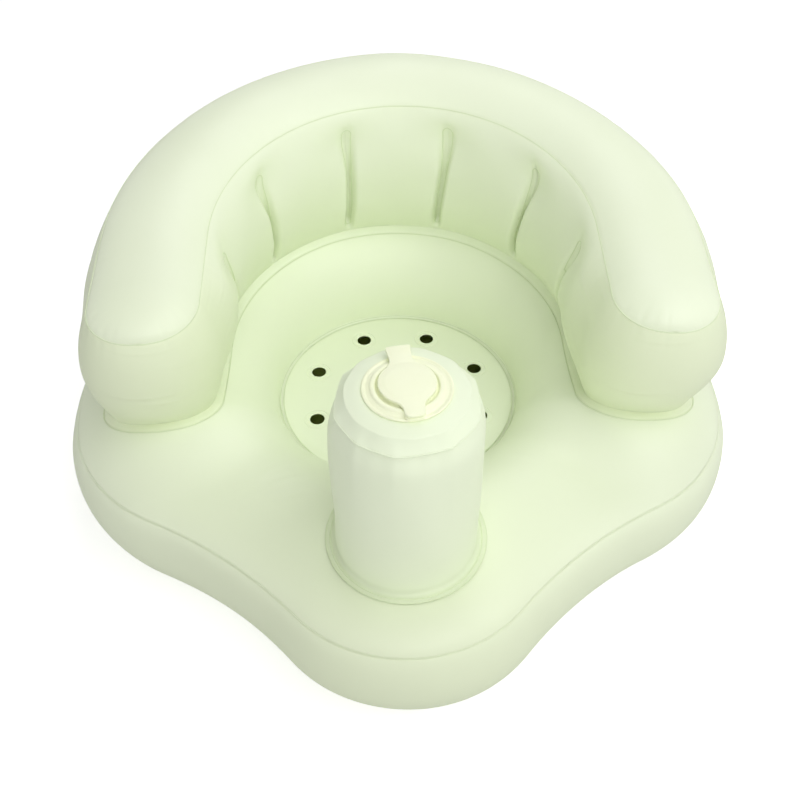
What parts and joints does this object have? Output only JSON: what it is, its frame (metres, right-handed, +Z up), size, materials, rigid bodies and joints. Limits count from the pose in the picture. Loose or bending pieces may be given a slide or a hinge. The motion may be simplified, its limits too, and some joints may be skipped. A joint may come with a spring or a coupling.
{
  "type": "inflatable baby sofa",
  "caption": "Welded-film inflatable floor seat for a baby: lobed base with a seat well, horseshoe backrest with armrests, and a crotch post that holds a sponge pump.",
  "frame": {"origin": "on the ground at the middle of the base's length and width", "axes": "+Z up, -Y to the front where the crotch post stands, +X to the right seen from the front camera"},
  "size_m": [0.533, 0.526, 0.2662],
  "materials": {
    "film": "semi-gloss translucent soft PVC film",
    "frosted_film": "frosted soft PVC film",
    "sponge": "open-cell sponge",
    "valve": "moulded soft PVC, cream yellow"
  },
  "bodies": {
    "air_seat": {"base_top_panel": "film", "base_side_wall": "film", "base_bottom_panel": "film", "seat_floor": "film", "backrest_inner_wall": "film", "backrest_outer_wall": "film", "backrest_top_panel": "film", "backrest_web_1": "film", "backrest_web_2": "film", "backrest_web_3": "film", "backrest_web_4": "film", "backrest_web_5": "film", "backrest_web_6": "film", "post_wall": "frosted_film", "pump_foam": "sponge", "check_valve_body": "valve", "release_valve_body": "valve"},
    "pump_head": {"post_top_panel": "frosted_film", "intake_valve_body": "valve"},
    "cap": {"intake_cap": "valve"},
    "check_flap": {"check_valve_flap": "valve"},
    "plug": {"release_plug": "valve"},
    "inner_flap": {"release_flap": "valve"}
  },
  "joints": [
    {"name": "pump_press", "type": "slide", "parent": "air_seat", "child": "pump_head", "axis": [0, 0, -1], "range_m": [0, 0.05], "stiffness_N_per_m": 1200, "deforming": ["post_wall", "pump_foam"]},
    {"name": "cap_hinge", "type": "hinge", "parent": "pump_head", "child": "cap", "pos_m": [0.0043, -0.19266, 0.2521], "axis": [0.9877, 0.1564, 0], "range_deg": [0, 150]},
    {"name": "check_flap_hinge", "type": "hinge", "parent": "air_seat", "child": "check_flap", "pos_m": [0, -0.1535, 0.09345], "axis": [1, 0, 0], "range_deg": [0, 40], "stiffness_Nm_per_rad": 0.002},
    {"name": "plug_hinge", "type": "hinge", "parent": "air_seat", "child": "plug", "pos_m": [0, 0.2572, 0.1665], "axis": [-1, 0, 0], "range_deg": [0, 150]},
    {"name": "inner_flap_hinge", "type": "hinge", "parent": "air_seat", "child": "inner_flap", "pos_m": [0, 0.2388, 0.17], "axis": [1, 0, 0], "range_deg": [0, 40], "stiffness_Nm_per_rad": 0.002}
  ]
}
